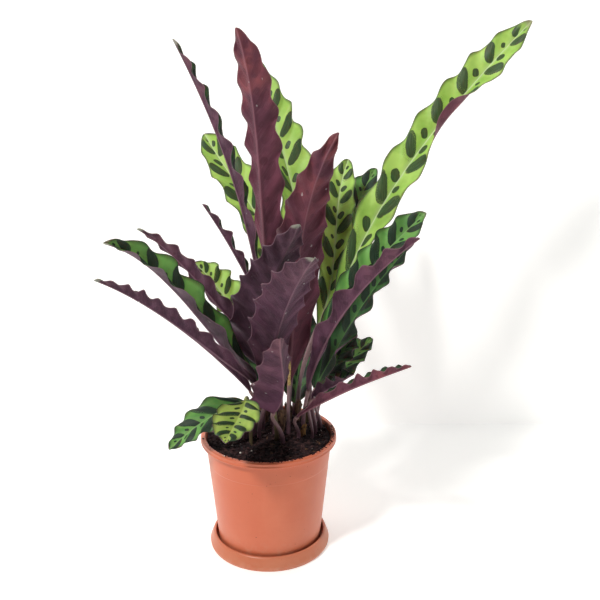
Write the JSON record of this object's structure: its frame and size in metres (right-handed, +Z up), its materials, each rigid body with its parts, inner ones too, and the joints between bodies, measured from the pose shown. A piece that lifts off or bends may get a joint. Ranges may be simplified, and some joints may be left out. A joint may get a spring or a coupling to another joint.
{
  "type": "potted rattlesnake plant",
  "caption": "Potted rattlesnake plant: long lance-shaped leaves with waved edges on slim stems, in a terracotta-coloured nursery pot standing on a round saucer.",
  "frame": {"origin": "centre of the saucer's flat underside", "axes": "+Z up along the pot's axis, -Y towards the viewer of the picture, +X to the viewer's right"},
  "size_m": [0.3771, 0.3131, 0.4945],
  "materials": {
    "leaf": "satin leaf, green with dark ovals above and maroon beneath",
    "young_leaf": "satin leaf, yellow-green with dark ovals above and maroon beneath",
    "stem": "satin, purple-brown, smooth plant stem",
    "soil": "matte, crumbly peat potting mix with pale flecks",
    "pot": "satin moulded, terracotta colour",
    "saucer": "satin moulded, dusty terracotta colour"
  },
  "bodies": {
    "root": {"saucer": "saucer", "pot": "pot", "soil": "soil", "leaf_01_blade": "leaf", "leaf_01_stem": "stem", "leaf_02_blade": "leaf", "leaf_02_stem": "stem", "leaf_03_blade": "leaf", "leaf_03_stem": "stem", "leaf_04_blade": "leaf", "leaf_04_stem": "stem", "leaf_05_blade": "leaf", "leaf_05_stem": "stem", "leaf_06_blade": "young_leaf", "leaf_06_stem": "stem", "leaf_07_blade": "leaf", "leaf_07_stem": "stem", "leaf_08_blade": "leaf", "leaf_08_stem": "stem", "leaf_09_blade": "leaf", "leaf_09_stem": "stem", "leaf_10_blade": "leaf", "leaf_10_stem": "stem", "leaf_11_blade": "leaf", "leaf_11_stem": "stem", "leaf_12_blade": "leaf", "leaf_12_stem": "stem", "leaf_13_blade": "leaf", "leaf_13_stem": "stem", "leaf_14_blade": "leaf", "leaf_14_stem": "stem", "leaf_15_blade": "leaf", "leaf_15_stem": "stem", "leaf_16_blade": "leaf", "leaf_16_stem": "stem", "leaf_17_blade": "leaf", "leaf_17_stem": "stem", "leaf_18_blade": "leaf", "leaf_18_stem": "stem", "leaf_19_blade": "leaf", "leaf_19_stem": "stem", "leaf_20_blade": "young_leaf", "leaf_20_stem": "stem", "leaf_21_blade": "leaf", "leaf_21_stem": "stem", "leaf_22_blade": "leaf", "leaf_22_stem": "stem", "leaf_23_blade": "leaf", "leaf_23_stem": "stem", "leaf_24_blade": "leaf", "leaf_24_stem": "stem", "leaf_25_blade": "leaf", "leaf_25_stem": "stem", "leaf_26_blade": "young_leaf", "leaf_26_stem": "stem", "leaf_27_blade": "leaf", "leaf_27_stem": "stem", "leaf_28_blade": "leaf", "leaf_28_stem": "stem"}
  },
  "joints": []
}
